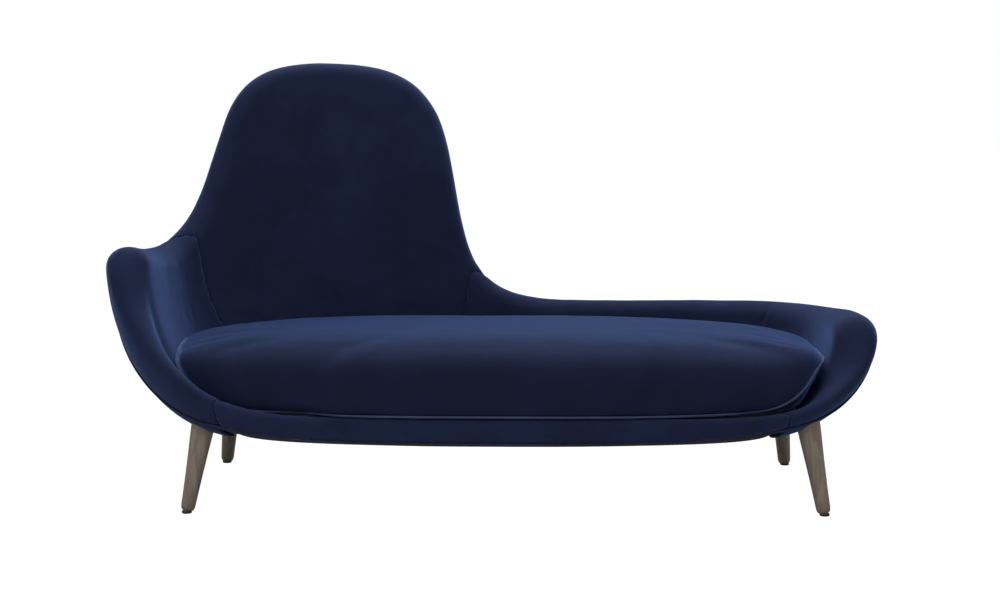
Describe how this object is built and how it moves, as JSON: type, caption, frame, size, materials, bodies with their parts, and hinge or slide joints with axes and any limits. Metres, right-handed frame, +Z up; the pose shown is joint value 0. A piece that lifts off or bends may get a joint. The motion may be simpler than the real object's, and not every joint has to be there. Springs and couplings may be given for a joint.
{
  "type": "chaise longue",
  "caption": "Upholstered chaise longue with a bowl-shaped padded shell, one tall back, a high arm, a low wing, a loose seat cushion and splayed turned wooden legs.",
  "frame": {"origin": "middle of the footprint at floor level", "axes": "+X along the length towards the low wing, on the right seen from the front; +Y from the front towards the back; +Z up"},
  "size_m": [1.7287, 0.8442, 0.9991],
  "materials": {
    "velvet": "short-pile upholstery velvet, navy",
    "piping": "corded trim in the cover's own navy",
    "webbing": "woven elastic webbing",
    "dust_cloth": "thin spun dust cloth",
    "zip_cloth": "woven zip tape",
    "foam": "open upholstery foam, hidden inside",
    "shell_board": "rigid moulded shell, hidden inside",
    "plywood": "birch plywood, bare",
    "rail_wood": "beech, bare",
    "leg_wood": "oak with a grey-brown stain, matt lacquer",
    "steel": "zinc plated",
    "zip_metal": "painted zip slider",
    "glide": "black moulded plastic"
  },
  "bodies": {
    "frame": {"base_panel": "plywood", "cross_rail_left": "rail_wood", "cross_rail_middle": "rail_wood", "cross_rail_right": "rail_wood", "deck_block": "foam", "dust_cover": "dust_cloth", "frame_screws": "steel", "front_rail_pad": "velvet", "glide_front_left": "glide", "glide_front_right": "glide", "glide_rear_left": "glide", "glide_rear_right": "glide", "hull_shell": "shell_board", "left_arm_pad": "velvet", "leg_block_front_left": "rail_wood", "leg_block_front_right": "rail_wood", "leg_block_rear_left": "rail_wood", "leg_block_rear_right": "rail_wood", "leg_bolts": "steel", "leg_front_left": "leg_wood", "leg_front_right": "leg_wood", "leg_inserts": "steel", "leg_rear_left": "leg_wood", "leg_rear_right": "leg_wood", "low_back_pad": "velvet", "outer_cover_back": "velvet", "outer_cover_left": "velvet", "outer_cover_right": "velvet", "rail_front": "rail_wood", "rail_rear": "rail_wood", "rim_piping": "piping", "tall_back_pad": "velvet", "webbing_cross": "webbing", "webbing_long": "webbing", "webbing_packers": "rail_wood"},
    "seat_cushion": {"cushion_core": "foam", "cushion_cover_bottom": "velvet", "cushion_cover_top": "velvet", "cushion_welt": "piping", "zip_tape": "zip_cloth"},
    "zip_slider": {"zip_slider": "zip_metal"}
  },
  "joints": [
    {"name": "seat_cushion_lift", "type": "slide", "parent": "frame", "child": "seat_cushion", "axis": [0, 0, 1], "range_m": [0, 0.4]},
    {"name": "zip_slider_slide", "type": "slide", "parent": "seat_cushion", "child": "zip_slider", "axis": [1, 0, 0], "range_m": [0, 0.44]}
  ]
}
